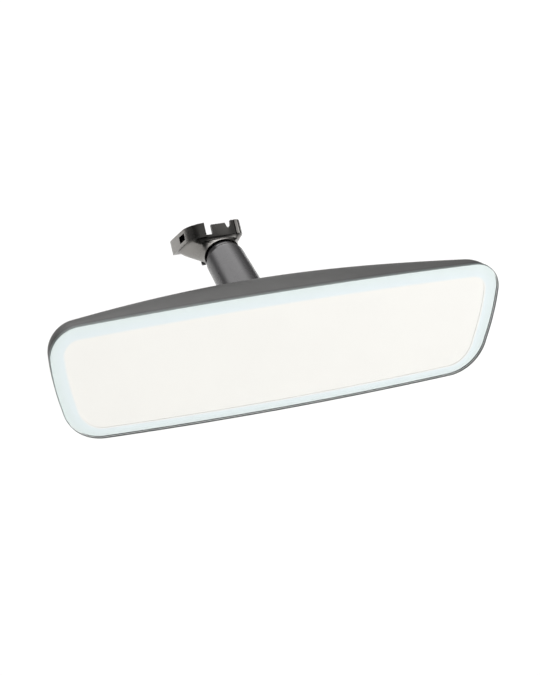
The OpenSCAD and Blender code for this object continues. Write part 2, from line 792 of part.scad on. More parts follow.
module forward_sensor() {
    back = board_y + board_t + 0.02;
    color("#3a3a48") in_head() {
        block([sensor_x - 2.5, back, forward_z - 2.5],
            [sensor_x + 2.5, back + 1.2, forward_z + 2.5]);
        bar(sensor_x, forward_z, 1.8, back + 1.1, back + 2);
    }
}

module sensor_light_pipe() {
    end = back_y(sensor_x, forward_z, shell_depth) - 0.7;
    color("#8f9aa0") in_head() bar(sensor_x, forward_z, light_pipe_r, board_y + board_t + 2.3, end);
}

foot_casting();
foot_set_screw();
foot_ball_stud();
stud_push_nut();
foot_ball_liner();
arm_tube();
foot_pressure_cup();
head_pressure_cup();
arm_spring();
wire_loom();
head_ball_liner();
head_ball_stud();
stud_retaining_ring();
rear_housing();
socket_frame();
mounting_plate();
plate_screws();
glass_carrier();
adhesive_pad();
front_glass();
border_ring();
cell_seal();
dimming_gel();
mirror_coating();
rear_glass();
bus_clips();
circuit_board();
board_screws();
board_connector();
dimming_chip();
glare_sensor();
forward_sensor();
sensor_light_pipe();
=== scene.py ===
"""Interior rearview mirror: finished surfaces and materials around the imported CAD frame.

Lengths are in metres, in the CAD's own frame. Shapes that follow the CAD's rules are built
again here at a finer step: the glass and its layers, the rear shell, the arm and the foot.
"""
import json
import math

import bmesh
import bpy
from mathutils import Matrix, Vector


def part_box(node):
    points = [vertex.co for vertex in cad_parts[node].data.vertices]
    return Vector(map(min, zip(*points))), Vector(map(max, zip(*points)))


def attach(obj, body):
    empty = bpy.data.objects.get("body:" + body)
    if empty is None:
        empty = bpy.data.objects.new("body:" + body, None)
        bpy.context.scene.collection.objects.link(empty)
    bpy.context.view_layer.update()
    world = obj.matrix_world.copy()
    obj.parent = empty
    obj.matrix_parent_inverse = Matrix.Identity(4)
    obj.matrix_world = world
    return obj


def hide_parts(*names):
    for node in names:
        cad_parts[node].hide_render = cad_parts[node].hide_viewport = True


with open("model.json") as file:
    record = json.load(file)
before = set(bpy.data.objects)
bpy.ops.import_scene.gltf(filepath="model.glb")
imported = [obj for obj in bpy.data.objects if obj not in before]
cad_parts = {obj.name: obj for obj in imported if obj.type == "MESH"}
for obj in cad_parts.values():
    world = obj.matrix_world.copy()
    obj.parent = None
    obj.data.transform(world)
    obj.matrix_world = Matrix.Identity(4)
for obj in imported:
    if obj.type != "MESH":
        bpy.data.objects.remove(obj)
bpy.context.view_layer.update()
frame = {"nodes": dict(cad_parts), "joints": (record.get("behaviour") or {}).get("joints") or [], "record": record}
MM = 0.001

# ---- places, all from the frame ----

joint_at = {j["name"]: Vector(j["pos_m"]) for j in frame["joints"]}
FOOT_BALL = joint_at["foot_pitch"]
HEAD_BALL = joint_at["head_pitch"]
AXIS = (FOOT_BALL - HEAD_BALL).normalized()
glass_low, glass_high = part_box("front_glass")
GLASS = Vector((0, glass_low.y, (glass_low.z + glass_high.z) / 2))
channel_axis = Vector(frame["record"]["mounts"][0]["axis"])
RAKE = math.atan2(-channel_axis.z, channel_axis.y)
SEAT = Matrix.Rotation(-RAKE, 4, "X")
RISE = math.atan2(AXIS.z, AXIS.y)
TO_AXIS = Matrix.Rotation(RISE - math.pi / 2, 4, "X")

# ---- sizes ----

# Outline of the glass: half widths, how far its edges bow, and the radii of its corners
HALF_TOP = 121 * MM
HALF_BOTTOM = 108.6 * MM
GLASS_H = glass_high.z - glass_low.z
TOP_BOW = 2.3 * MM
BOTTOM_BOW = 3.2 * MM
SIDE_BOW = 4.4 * MM
CORNER_TOP = 15.5 * MM
CORNER_BOTTOM = 22.3 * MM

# The glass and its layers, with the border's width at the top, the sides and the bottom
GLASS_T = 2 * MM
RING_TOP = 8.6 * MM
RING_SIDE = 8.2 * MM
RING_BOTTOM = 5.6 * MM
RING_INSET = 0.5 * MM      # from the edge of the glass to the border
CELL_INSET = 3 * MM
PANE_ROUND = 0.42 * MM     # radius of the pane's front edge
PANE_TRIM = 0.04 * MM      # how far the pane's side lies inside the CAD's
CLEAR_FACING = 0.97        # faces of the pane turned at least this much to the front are clear,
SEAM_FACING = 0.2          # those above this one are seamed, and the others are ground
COATING_GAP = 0.005 * MM   # between the back of the border and the mirror's coating

# The rear shell: its front edge, its deepest point, the radii of its crowned back, and the
# width and power of the curve that its sides follow into that back
SHELL_Y = 2.6 * MM
SHELL_INSET = 0.5 * MM
SHELL_DEPTH = 37.3 * MM
SHELL_PLAN_R = 370 * MM
SHELL_SIDE_R = 125 * MM
SHELL_ROUND = 10.6 * MM
SHELL_POWER = 2.3
SHELL_WALL = 1.8 * MM
HOLE_R = 18.5 * MM
HOLE_ROUND = 0.35 * MM     # round on the edges of the shell's holes
SENSOR_HOLE_R = 3.75 * MM
LENS_DOME = 0.8 * MM

# The arm: the dome at the foot, the shoulder next to it, the dome at the head, and the seats
ARM_FOOT_R = 10.2 * MM
ARM_SHOULDER_R = 10.9 * MM
ARM_HEAD_R = 12.2 * MM
FOOT_SEAT_R = 8.25 * MM
HEAD_SEAT_R = 9.35 * MM
MOUTH = math.radians(41)   # half angle of each dome's opening, seen from its ball
MOUTH_LIP = math.radians(1.2)
FOOT_DOME_END = math.radians(78)
SHOULDER = [(0.5 * MM, 1.2 * MM), (0.15 * MM, 0.5 * MM), (0, -0.5 * MM)]   # (inset, height)
ARM_BORE_R = 7.2 * MM
FOOT_SEAT_L = 14 * MM      # depth of the wider bore behind each ball
HEAD_SEAT_L = 15 * MM
POLE_R = 0.02 * MM         # where a turned solid ends short of its axis

# The foot: its cup, its walls, the channel for the button and the holes
CUP_R = ARM_FOOT_R + 0.4 * MM
CUP_RIM_R = CUP_R + 1 * MM
CUP_REACH = math.radians(60)
CUP_EDGE_R = CUP_RIM_R * math.sin(CUP_REACH)   # the cup's rim, and how far it lies along the
CUP_EDGE_S = CUP_RIM_R * math.cos(CUP_REACH)   # arm's axis from the ball's centre
CUP_CUT_R = 16 * MM
FOOT_H = 8 * MM
CHANNEL_D = 6.5 * MM
CHANNEL_W = 24 * MM
LIP_GAP = 20.5 * MM
LIP_T = 1.6 * MM
STUD_HOLE_R = 2.62 * MM
NUT_R = 4.8 * MM
NUT_S = 13.8 * MM          # from the ball's centre to the push nut's seat
SET_SCREW_R = 1.62 * MM
SET_SCREW_AT = (-7.6 * MM, 2.6 * MM)

# The flare between the foot's block and its cup, in the frame of the seat
FLARE_HALF = (16.4 * MM, 12.4 * MM)
FLARE_MIDDLE = (-2.6 * MM, 0.3 * MM)
FLARE_LEAN = -0.16
FLARE_NARROWS = 0.88       # its first control ring, at FLARE_DEPTH below the block
FLARE_DEPTH = 4.1 * MM
NECK_NARROWS = 0.98        # the same for its second control ring, measured from the cup's rim
NECK_DEPTH = 5 * MM
PAST_RIM = 1.5 * MM        # it ends past the rim, which is then cut flat
CAST_ROUND = 0.28 * MM


# ---- mesh helpers ----

def mesh_object(name, points, faces, material, smooth_angle=35):
    """A new object from points and faces, with smooth shading up to an angle."""
    mesh = bpy.data.meshes.new(name)
    mesh.from_pydata([tuple(p) for p in points], [], faces)
    bm = bmesh.new()
    bm.from_mesh(mesh)
    bmesh.ops.remove_doubles(bm, verts=bm.verts, dist=1e-7)
    bmesh.ops.recalc_face_normals(bm, faces=bm.faces)
    bm.to_mesh(mesh)
    bm.free()
    obj = bpy.data.objects.new(name, mesh)
    bpy.context.scene.collection.objects.link(obj)
    obj.data.materials.append(material)
    shade(obj, smooth_angle)
    return obj


def shade(obj, angle):
    """Smooth faces, with edges sharper than the angle kept sharp."""
    mesh = obj.data
    mesh.polygons.foreach_set("use_smooth", [True] * len(mesh.polygons))
    bm = bmesh.new()
    bm.from_mesh(mesh)
    limit = math.radians(angle)
    for edge in bm.edges:
        edge.smooth = len(edge.link_faces) == 2 and edge.calc_face_angle(0) < limit
    bm.to_mesh(mesh)
    bm.free()


def loft(name, rings, material, cyclic=False, caps=False, smooth_angle=35):
    """Quads between rings that have the same number of points."""
    count = len(rings[0])
    last = len(rings) if cyclic else len(rings) - 1
    faces = []
    for k in range(last):
        a = k * count
        b = ((k + 1) % len(rings)) * count
        for i in range(count):
            j = (i + 1) % count
            faces.append((a + i, a + j, b + j, b + i))
    if caps:
        faces.append(tuple(range(count)))
        faces.append(tuple(range((len(rings) - 1) * count, len(rings) * count)))
    points = [p for ring in rings for p in ring]
    return mesh_object(name, points, faces, material, smooth_angle)


def revolve(name, profile, place, material, steps, smooth_angle=35):
    """A closed profile of (radius, height) turned about the Z axis of a placing matrix."""
    turn = [2 * math.pi * i / steps for i in range(steps)]
    rings = [[place @ Vector((radius * math.cos(a), radius * math.sin(a), height)) for a in turn]
             for radius, height in profile]
    return loft(name, rings, material, cyclic=True, smooth_angle=smooth_angle)


def arc_points(centre, radius, start, end, steps):
    """Points (r, h) on an arc in a profile; angles are in radians from the height axis."""
    return [(centre[0] + radius * math.sin(start + (end - start) * i / steps),
             centre[1] + radius * math.cos(start + (end - start) * i / steps))
            for i in range(steps + 1)]


def modified(obj):
    """Applies an object's modifiers to its mesh."""
    bpy.context.view_layer.update()
    final = bpy.data.meshes.new_from_object(obj.evaluated_get(bpy.context.evaluated_depsgraph_get()))
    obj.modifiers.clear()
    obj.data = final


def combine(obj, other, operation):
    """Joins the other solid to obj, or cuts it away, and removes the other."""
    step = obj.modifiers.new("combine", "BOOLEAN")
    step.operation = operation
    step.solver = "EXACT"
    step.object = other
    modified(obj)
    bpy.data.objects.remove(other)


def bevelled(obj, width, segments, angle):
    """Rounds every edge sharper than an angle."""
    step = obj.modifiers.new("bevel", "BEVEL")
    step.width = width
    step.segments = segments
    step.limit_method = "ANGLE"
    step.angle_limit = math.radians(angle)
    step.use_clamp_overlap = True
    modified(obj)
    shade(obj, 40)


def box_solid(low, high, place):
    """A closed box as a cutter, from its corners in mm."""
    corners = [place @ Vector((x, y, z)) for x in (low[0] * MM, high[0] * MM)
               for y in (low[1] * MM, high[1] * MM) for z in (low[2] * MM, high[2] * MM)]
    faces = [(0, 1, 3, 2), (4, 6, 7, 5), (0, 4, 5, 1), (2, 3, 7, 6), (0, 2, 6, 4), (1, 5, 7, 3)]
    return mesh_object("cutter", corners, faces, MATERIALS["foot_casting"])


def prism_solid(outline, z0, z1, place):
    """A closed prism from an outline of (x, y) and two heights, all in mm."""
    rings = [[place @ Vector((x * MM, y * MM, z * MM)) for x, y in outline] for z in (z0, z1)]
    return loft("prism", rings, MATERIALS["foot_casting"], caps=True)


def rod_solid(radius, z0, z1, place, steps=64):
    """A closed cylinder along the Z axis of a placing matrix."""
    rings = [[place @ Vector((radius * math.cos(2 * math.pi * i / steps),
                              radius * math.sin(2 * math.pi * i / steps), z))
              for i in range(steps)] for z in (z0, z1)]
    return loft("rod", rings, MATERIALS["foot_casting"], caps=True)


def ball_solid(radius, place, steps=96, rows=48):
    """A closed sphere whose poles are small flats."""
    rings = []
    for k in range(rows + 1):
        a = 0.01 + (math.pi - 0.02) * k / rows
        rings.append([place @ Vector((radius * math.sin(a) * math.cos(2 * math.pi * i / steps),
                                      radius * math.sin(a) * math.sin(2 * math.pi * i / steps),
                                      radius * math.cos(a))) for i in range(steps)])
    return loft("ball", rings, MATERIALS["foot_casting"], caps=True)


# ---- outline of the glass, as (x, z, normal x, normal z) about its centre ----

def down(z):
    """How far down the glass a height is: 0 at the top, 1 at the bottom."""
    return (GLASS_H / 2 - z) / GLASS_H


def edge_z(x, upper):
    """Height of the bowed top or bottom edge."""
    bow = x * x / (HALF_TOP * HALF_TOP)
    return GLASS_H / 2 - TOP_BOW * bow if upper else -GLASS_H / 2 + BOTTOM_BOW * bow


def edge_slope(x, upper):
    """Slope of that edge."""
    bow = -TOP_BOW if upper else BOTTOM_BOW
    return 2 * bow * x / (HALF_TOP * HALF_TOP)


def side_x(z):
    """Half width of the glass between its bowed sides."""
    t = down(z)
    return HALF_TOP + (HALF_BOTTOM - HALF_TOP) * t + 4 * SIDE_BOW * t * (1 - t)


def side_slope(z):
    """How fast that half width grows with height."""
    return -((HALF_BOTTOM - HALF_TOP) + 4 * SIDE_BOW * (1 - 2 * down(z))) / GLASS_H


def corner_centre(radius, upper):
    """Centre of the circle that touches a side and the top or bottom edge."""
    x = 100 * MM
    for _ in range(10):
        drop = radius * math.hypot(1, edge_slope(x, upper))
        z = edge_z(x, upper) - drop if upper else edge_z(x, upper) + drop
        x = side_x(z) - radius * math.hypot(1, side_slope(z))
    return x, z


def edge_point(x, z, nx, nz):
    """A point of the outline, with its normal scaled to length 1."""
    size = math.hypot(nx, nz)
    return x, z, nx / size, nz / size


def glass_rim(edge_steps=40, arc_steps=20, side_steps=16):
    """Points round the glass, with the outward normal at each."""
    low = corner_centre(CORNER_BOTTOM, False)
    high = corner_centre(CORNER_TOP, True)
    low_start = math.atan2(-1, edge_slope(low[0], False))
    low_end = math.atan2(-side_slope(low[1]), 1)
    high_start = math.atan2(-side_slope(high[1]), 1)
    high_end = math.atan2(1, -edge_slope(high[0], True))

    def arc(centre, radius, start, end):
        """A corner of the outline."""
        angles = [start + (end - start) * i / arc_steps for i in range(arc_steps + 1)]
        return [(centre[0] + radius * math.cos(a), centre[1] + radius * math.sin(a),
                 math.cos(a), math.sin(a)) for a in angles]

    low_arc = arc(low, CORNER_BOTTOM, low_start, low_end)
    high_arc = arc(high, CORNER_TOP, high_start, high_end)
    half = []
    for i in range(edge_steps):
        x = low_arc[0][0] * i / edge_steps
        half.append(edge_point(x, edge_z(x, False), edge_slope(x, False), -1))
    half += low_arc
    for i in range(1, side_steps + 1):
        z = low_arc[-1][1] + (high_arc[0][1] - low_arc[-1][1]) * i / (side_steps + 1)
        half.append(edge_point(side_x(z), z, 1, -side_slope(z)))
    half += high_arc
    for i in range(edge_steps - 1, -1, -1):
        x = high_arc[-1][0] * i / edge_steps
        half.append(edge_point(x, edge_z(x, True), -edge_slope(x, True), 1))
    return half + [(-x, z, -nx, nz) for x, z, nx, nz in reversed(half[1:-1])]


RIM = glass_rim()


def rim_ring(inset, y):
    """The outline moved inwards, at a distance behind the face of the glass."""
    return [GLASS + Vector((x - inset * nx, y, z - inset * nz)) for x, z, nx, nz in RIM]


def ring_width(up):
    """Width of the border where its outward normal rises by this much."""
    return RING_SIDE + ((RING_TOP if up > 0 else RING_BOTTOM) - RING_SIDE) * up * up


# ---- materials ----

def new_material(name):
    """A node material, with its shader and its object coordinates."""
    material = bpy.data.materials.new(name)
    material.use_nodes = True
    tree = material.node_tree
    shader = tree.nodes["Principled BSDF"]
    place = tree.nodes.new("ShaderNodeTexCoord")
    return material, tree, shader, place.outputs["Object"]


def noise(tree, where, scale, detail, roughness=0.5):
    """Noise whose features are about 1 / scale metres wide."""
    node = tree.nodes.new("ShaderNodeTexNoise")
    node.inputs["Scale"].default_value = scale
    node.inputs["Detail"].default_value = detail
    node.inputs["Roughness"].default_value = roughness
    tree.links.new(where, node.inputs["Vector"])
    return node.outputs["Fac"]


def spread(tree, value, low, high):
    """Maps a noise value to a range."""
    node = tree.nodes.new("ShaderNodeMapRange")
    node.inputs["From Min"].default_value = 0.3
    node.inputs["From Max"].default_value = 0.7
    node.inputs["To Min"].default_value = low
    node.inputs["To Max"].default_value = high
    tree.links.new(value, node.inputs["Value"])
    return node.outputs["Result"]


def colour_between(tree, value, first, second):
    """Mixes two colours by a value."""
    node = tree.nodes.new("ShaderNodeMix")
    node.data_type = "RGBA"
    node.inputs["A"].default_value = (*first, 1)
    node.inputs["B"].default_value = (*second, 1)
    tree.links.new(value, node.inputs["Factor"])
    return node.outputs["Result"]


def bump(tree, shader, heights):
    """A chain of bumps, each (height output, strength, distance in metres)."""
    normal = None
    for height, strength, distance in heights:
        node = tree.nodes.new("ShaderNodeBump")
        node.inputs["Strength"].default_value = strength
        node.inputs["Distance"].default_value = distance
        tree.links.new(height, node.inputs["Height"])
        if normal:
            tree.links.new(normal, node.inputs["Normal"])
        normal = node.outputs["Normal"]
    tree.links.new(normal, shader.inputs["Normal"])


def scaled(colour, factor):
    """A colour made lighter or darker."""
    return tuple(min(1.0, c * factor) for c in colour)


def plastic(name, colour, roughness, grain=0.25 * MM, depth=0.5, mottle=0.12, specular=0.5):
    """Moulded plastic: a fine spark-eroded grain with slow changes of tone and gloss."""
    material, tree, shader, where = new_material(name)
    shader.inputs["Specular IOR Level"].default_value = specular
    fine = noise(tree, where, 1 / grain, 3, 0.6)
    slow = noise(tree, where, 60, 3)
    low, high = scaled(colour, 1 - mottle), scaled(colour, 1 + mottle)
    tree.links.new(colour_between(tree, slow, low, high), shader.inputs["Base Color"])
    tree.links.new(spread(tree, slow, roughness - 0.05, roughness + 0.05),
                   shader.inputs["Roughness"])
    bump(tree, shader, [(fine, depth, 0.02 * MM)])
    return material


def painted_corner_shade(tree, colour, reach, power):
    """Painted shade: multiplies a colour by how open the surface is within a reach, raised to a power, so that
    corners and recesses come out darker.
    """
    open_sky = tree.nodes.new("ShaderNodeAmbientOcclusion")
    open_sky.inputs["Distance"].default_value = reach
    steeper = tree.nodes.new("ShaderNodeMath")
    steeper.operation = "POWER"
    steeper.inputs[1].default_value = power
    tree.links.new(open_sky.outputs["AO"], steeper.inputs[0])
    times = tree.nodes.new("ShaderNodeMix")
    times.data_type = "RGBA"
    times.blend_type = "MULTIPLY"
    times.inputs["Factor"].default_value = 1.0
    tree.links.new(colour, times.inputs["A"])
    tree.links.new(steeper.outputs["Value"], times.inputs["B"])
    return times.outputs["Result"]


def paint(name, colour, roughness, peel, metallic, corners=0.0):
    """Sprayed paint on metal: soft orange peel, dust-fine speckle, slow changes of gloss, and, where corners is
    given, painted shade that darkens its corners and recesses.
    """
    material, tree, shader, where = new_material(name)
    peeled = noise(tree, where, 1 / peel, 2, 0.4)
    speckle = noise(tree, where, 5200, 2, 0.7)
    slow = noise(tree, where, 90, 2)
    tone = colour_between(tree, speckle, scaled(colour, 0.9), scaled(colour, 1.1))
    # painted shade: the colour is darkened in corners and recesses, where the walls shade the surface
    if corners:
        tone = painted_corner_shade(tree, tone, CORNER_SHADE_REACH, corners)
    tree.links.new(tone, shader.inputs["Base Color"])
    tree.links.new(spread(tree, slow, roughness - 0.04, roughness + 0.05),
                   shader.inputs["Roughness"])
    shader.inputs["Metallic"].default_value = metallic
    bump(tree, shader, [(peeled, 0.12, 0.05 * MM), (speckle, 0.2, 0.01 * MM)])
    return material


def metal(name, colour, roughness, grain=0.3 * MM, stretch=(1, 1, 1), depth=0.25):
    """Bare or plated metal; stretch draws the grain out into turning or drawing marks."""
    material, tree, shader, where = new_material(name)
    shader.inputs["Metallic"].default_value = 1.0
    mapping = tree.nodes.new("ShaderNodeMapping")
    mapping.inputs["Scale"].default_value = stretch
    tree.links.new(where, mapping.inputs["Vector"])
    marks = noise(tree, mapping.outputs["Vector"], 1 / grain, 4, 0.6)
    slow = noise(tree, where, 120, 3)
    tree.links.new(colour_between(tree, slow, scaled(colour, 0.86), scaled(colour, 1.08)),
                   shader.inputs["Base Color"])
    tree.links.new(spread(tree, marks, roughness - 0.06, roughness + 0.08),
                   shader.inputs["Roughness"])
    bump(tree, shader, [(marks, depth, 0.01 * MM)])
    return material


def reflector(name, colour, roughness=0.02):
    """A mirror coating: almost flat, with the faintest waviness and haze."""
    material, tree, shader, where = new_material(name)
    shader.inputs["Metallic"].default_value = 1.0
    wave = noise(tree, where, 18, 1)
    tree.links.new(colour_between(tree, wave, scaled(colour, 0.985), scaled(colour, 1.01)),
                   shader.inputs["Base Color"])
    tree.links.new(spread(tree, wave, roughness, roughness + 0.02), shader.inputs["Roughness"])
    bump(tree, shader, [(wave, 0.02, 0.02 * MM)])
    return material


def border_reflector(name, outer, inner, mirror):
    """The border's coating: a tint that lightens inwards and ends in the mirror's own."""
    material, tree, shader, where = new_material(name)
    shader.inputs["Metallic"].default_value = 1.0
    across = tree.nodes.new("ShaderNodeAttribute")
    across.attribute_name = "across"
    last = tree.nodes.new("ShaderNodeMapRange")
    last.interpolation_type = "SMOOTHSTEP"
    last.inputs["From Min"].default_value = BORDER_FADE
    tree.links.new(across.outputs["Fac"], last.inputs["Value"])
    blend = tree.nodes.new("ShaderNodeMix")
    blend.data_type = "RGBA"
    blend.inputs["B"].default_value = (*mirror, 1)
    tree.links.new(last.outputs["Result"], blend.inputs["Factor"])
    tree.links.new(colour_between(tree, across.outputs["Fac"], outer, inner), blend.inputs["A"])
    tree.links.new(blend.outputs["Result"], shader.inputs["Base Color"])
    haze = noise(tree, where, 300, 2)
    tree.links.new(spread(tree, haze, 0.04, 0.09), shader.inputs["Roughness"])
    bump(tree, shader, [(haze, 0.03, 0.01 * MM)])
    return material


def ground_edge(name, colour):
    """An edge of the glass that has been ground: matt and a little rough."""
    material, tree, shader, where = new_material(name)
    grind = noise(tree, where, 1400, 3, 0.6)
    tree.links.new(colour_between(tree, grind, scaled(colour, 0.9), scaled(colour, 1.08)),
                   shader.inputs["Base Color"])
    tree.links.new(spread(tree, grind, 0.28, 0.42), shader.inputs["Roughness"])
    bump(tree, shader, [(grind, 0.2, 0.01 * MM)])
    return material


def clear(name, colour, roughness, ior=1.5):
    """Clear glass or gel, with the faintest haze."""
    material, tree, shader, where = new_material(name)
    shader.inputs["Transmission Weight"].default_value = 1.0
    shader.inputs["IOR"].default_value = ior
    haze = noise(tree, where, 200, 2)
    tree.links.new(colour_between(tree, haze, scaled(colour, 0.99), colour),
                   shader.inputs["Base Color"])
    tree.links.new(spread(tree, haze, roughness, roughness + 0.01), shader.inputs["Roughness"])
    bump(tree, shader, [(haze, 0.01, 0.01 * MM)])
    return material


MIRROR_TINT = (0.905, 0.897, 0.862)
BORDER_OUTER = (0.755, 0.84, 0.83)
BORDER_INNER = (0.8, 0.87, 0.9)
BORDER_FADE = 0.78         # part of the border's width from which it turns to the mirror's tint
CORNER_SHADE_REACH = 9 * MM      # how far off a wall the painted shade in a corner still reaches

# Tints are linear base colours; those in sight are set so that the lit part's tones come
# near the photograph's.
MATERIALS = {
    # the foot's paint gets painted shade in its corners and recesses (corners=3.0)
    "foot_casting": paint("foot_black", (0.26, 0.251, 0.238), 0.28, 0.9 * MM, metallic=1.0,
                          corners=3.0),
    "foot_set_screw": metal("black_oxide", (0.035, 0.034, 0.035), 0.4),
    "foot_ball_stud": metal("turned_steel", (0.55, 0.55, 0.54), 0.24, stretch=(1, 1, 6)),
    "stud_push_nut": metal("zinc_plate", (0.5, 0.5, 0.47), 0.34),
    "foot_ball_liner": plastic("acetal", (0.78, 0.77, 0.72), 0.42),
    "arm_tube": paint("arm_grey", (0.066, 0.064, 0.066), 0.26, 1.0 * MM, metallic=0.35),
    "foot_pressure_cup": plastic("acetal_cup", (0.75, 0.73, 0.66), 0.45),
    "arm_spring": metal("spring_wire", (0.48, 0.48, 0.46), 0.3),
    "wire_loom": plastic("loom_sleeve", (0.02, 0.02, 0.022), 0.6, 0.5 * MM, 0.8),
    "stud_retaining_ring": metal("phosphate", (0.2, 0.2, 0.19), 0.5),
    "rear_housing": plastic("shell_grain", (0.028, 0.0275, 0.0255), 0.46, 0.22 * MM, 0.45,
                            specular=0.4),
    "socket_frame": plastic("frame_black", (0.022, 0.022, 0.023), 0.5, 0.4 * MM, 0.6),
    "mounting_plate": metal("cast_alloy", (0.5, 0.5, 0.48), 0.45, 0.8 * MM, depth=0.6),
    "glass_carrier": plastic("carrier_black", (0.018, 0.018, 0.019), 0.48, 0.4 * MM, 0.6),
    "adhesive_pad": plastic("foam", (0.012, 0.012, 0.012), 0.85, 0.5 * MM, 1.0),
    "front_glass": clear("clear_glass", (1.0, 1.0, 1.0), 0.0, 1.45),
    "border_ring": border_reflector("border_tint", BORDER_OUTER, BORDER_INNER, MIRROR_TINT),
    "cell_seal": plastic("epoxy_bead", (0.05, 0.055, 0.055), 0.2, 1 * MM, 0.2),
    "dimming_gel": clear("gel", (1.0, 1.0, 0.99), 0.0, 1.4),
    "mirror_coating": reflector("silver", MIRROR_TINT),
    "rear_glass": clear("float_glass", (0.85, 0.93, 0.9), 0.02),
    "bus_clips": metal("tinned_strip", (0.62, 0.62, 0.58), 0.3),
    "circuit_board": plastic("solder_mask", (0.02, 0.14, 0.06), 0.3, 0.6 * MM, 0.4),
    "board_connector": plastic("nylon", (0.78, 0.75, 0.66), 0.5),
    "dimming_chip": plastic("chip_epoxy", (0.018, 0.018, 0.018), 0.55),
    "glare_sensor": plastic("smoked_epoxy", (0.03, 0.03, 0.045), 0.15, 1 * MM, 0.1),
    "sensor_light_pipe": plastic("smoked_lens", (0.02, 0.022, 0.026), 0.08, 1 * MM, 0.05),
}
GROUND_EDGE = ground_edge("ground_edge", (0.05, 0.062, 0.06))
SEAMED_EDGE = ground_edge("seamed_edge", (0.26, 0.3, 0.295))
SHARED = {
    "head_ball_stud": "foot_ball_stud",
    "head_ball_liner": "foot_ball_liner",
    "head_pressure_cup": "foot_pressure_cup",
    "plate_screws": "stud_push_nut",
    "board_screws": "stud_push_nut",
    "forward_sensor": "glare_sensor",
}


def paint_cad_nodes():
    """Gives every CAD node its material; none is moved."""
    for name, obj in frame["nodes"].items():
        obj.data.materials.clear()
        obj.data.materials.append(MATERIALS[SHARED.get(name, name)])


# ---- head ----

def stand_for(obj, node, body):
    """Puts an object in place of a CAD node, on the same body."""
    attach(obj, body)
    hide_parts(node)


def back_depth(x, z, depth):
    """How far behind the glass the crowned back of the shell lies."""
    return depth - x * x / (2 * SHELL_PLAN_R) - z * z / (2 * SHELL_SIDE_R)


def shell_skin(inset, depth, front, round_steps=28, back_steps=24):
    """Rings of one skin of the shell, from its front edge to the arm's hole."""
    hole_z = HEAD_BALL.z - GLASS.z + (SHELL_DEPTH - (HEAD_BALL.y - GLASS.y)) * math.tan(RISE)
    rings = []
    for k in range(round_steps + 1):
        b = math.cos(math.pi / 2 * k / round_steps)
        a = (1 - b ** SHELL_POWER) ** (1 / SHELL_POWER)
        move = inset + SHELL_ROUND * (1 - b)
        ring = []
        for x, z, nx, nz in RIM:
            px, pz = x - move * nx, z - move * nz
            y = front + (back_depth(px, pz, depth) - front) * a
            ring.append(GLASS + Vector((px, y, pz)))
        rings.append(ring)
    count = len(RIM)
    for k in range(1, back_steps + 1):
        t = k / back_steps
        ring = []
        for i, (x, z, nx, nz) in enumerate(RIM):
            angle = 2 * math.pi * i / count - math.pi / 2
            px = (x - move * nx) * (1 - t) + HOLE_R * math.cos(angle) * t
            pz = (z - move * nz) * (1 - t) + (hole_z + HOLE_R * math.sin(angle)) * t
            ring.append(GLASS + Vector((px, back_depth(px, pz, depth), pz)))
        rings.append(ring)
    return rings


def build_shell():
    """The rear shell, with the hole for the forward sensor cut through it."""
    outer = shell_skin(SHELL_INSET, SHELL_DEPTH, SHELL_Y)
    inner = shell_skin(SHELL_INSET + SHELL_WALL, SHELL_DEPTH - SHELL_WALL, SHELL_Y)
    shell = loft("shell", outer + inner[::-1], MATERIALS["rear_housing"], cyclic=True)
    low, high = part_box("sensor_light_pipe")
    place = Matrix.Translation(((low.x + high.x) / 2, 0, (low.z + high.z) / 2))
    turn = Matrix.Rotation(-math.pi / 2, 4, "X")
    combine(shell, rod_solid(SENSOR_HOLE_R, low.y, high.y + 10 * MM, place @ turn), "DIFFERENCE")
    bevelled(shell, HOLE_ROUND, 3, 50)
    stand_for(shell, "rear_housing", "head")


def build_lens():
    """The forward sensor's window: a short rod with a shallow dome."""
    low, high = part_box("sensor_light_pipe")
    radius = (high.x - low.x) / 2
    place = (Matrix.Translation(((low.x + high.x) / 2, low.y, (low.z + high.z) / 2))
             @ Matrix.Rotation(-math.pi / 2, 4, "X"))
    length = high.y - low.y
    profile = [(POLE_R, 0), (radius, 0), (radius, length - LENS_DOME)]
    profile += [(radius * math.cos(a), length - LENS_DOME + LENS_DOME * math.sin(a))
                for a in [math.pi / 2 * i / 10 for i in range(1, 10)]]
    profile.append((POLE_R, length))
    lens = revolve("sensor_lens", profile, place, MATERIALS["sensor_light_pipe"], 64)
    stand_for(lens, "sensor_light_pipe", "head")


def build_pane():
    """The front glass: clear faces, a seamed front and back edge, and a ground side."""
    rings = [rim_ring(PANE_ROUND * 2.2, 0)]
    for k in range(9):
        a = math.pi / 2 * k / 8
        rings.append(rim_ring(PANE_TRIM + PANE_ROUND * (1 - math.sin(a)),
                              PANE_ROUND * (1 - math.cos(a))))
    # in mm; the last ring lies in the back face and keeps its shading flat
    for inset, from_back in ((0, 0.3), (0.1, 0.1), (0.3, 0), (0.8, 0)):
        rings.append(rim_ring(PANE_TRIM + inset * MM, GLASS_T - from_back * MM))
    pane = loft("glass_pane", rings, MATERIALS["front_glass"], caps=True, smooth_angle=50)
    pane.data.materials.append(SEAMED_EDGE)
    pane.data.materials.append(GROUND_EDGE)
    for face in pane.data.polygons:
        facing = abs(face.normal.y)
        face.material_index = 0 if facing > CLEAR_FACING else 1 if facing > SEAM_FACING else 2
    stand_for(pane, "front_glass", "head")


